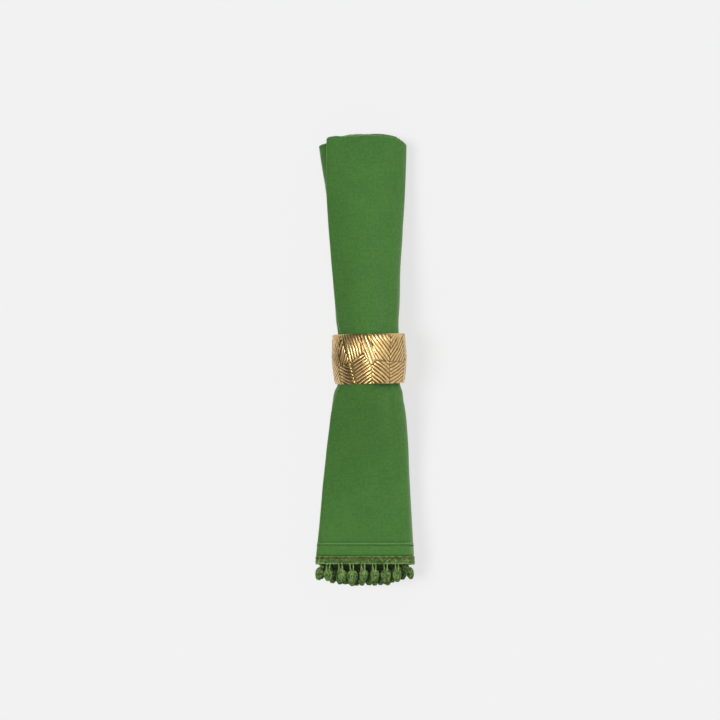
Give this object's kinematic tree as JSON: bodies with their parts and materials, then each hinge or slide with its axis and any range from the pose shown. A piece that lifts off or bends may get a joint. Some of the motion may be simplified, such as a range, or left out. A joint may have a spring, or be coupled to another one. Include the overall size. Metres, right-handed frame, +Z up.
{
  "type": "folded cloth napkin in a napkin ring",
  "caption": "Table napkin with pompom trim, folded into a long narrow bundle and held in the middle by a ridged metal ring.",
  "frame": {"origin": "on the table, under the middle of the bounding box", "axes": "+Y along the napkin towards its folded end, +Z up, +X to the right of someone who looks down with +Y ahead"},
  "size_m": [0.054, 0.2522, 0.0416],
  "materials": {
    "cloth": "plain woven cotton, matt, leaf green",
    "trim": "twisted and wound cotton yarn, matt, olive green",
    "brass": "cast, ridged, polished on the crests and darker in the grooves"
  },
  "bodies": {
    "root": {"napkin": "cloth", "trim_outer": "trim", "trim_inner": "trim", "ring": "brass"}
  },
  "joints": []
}
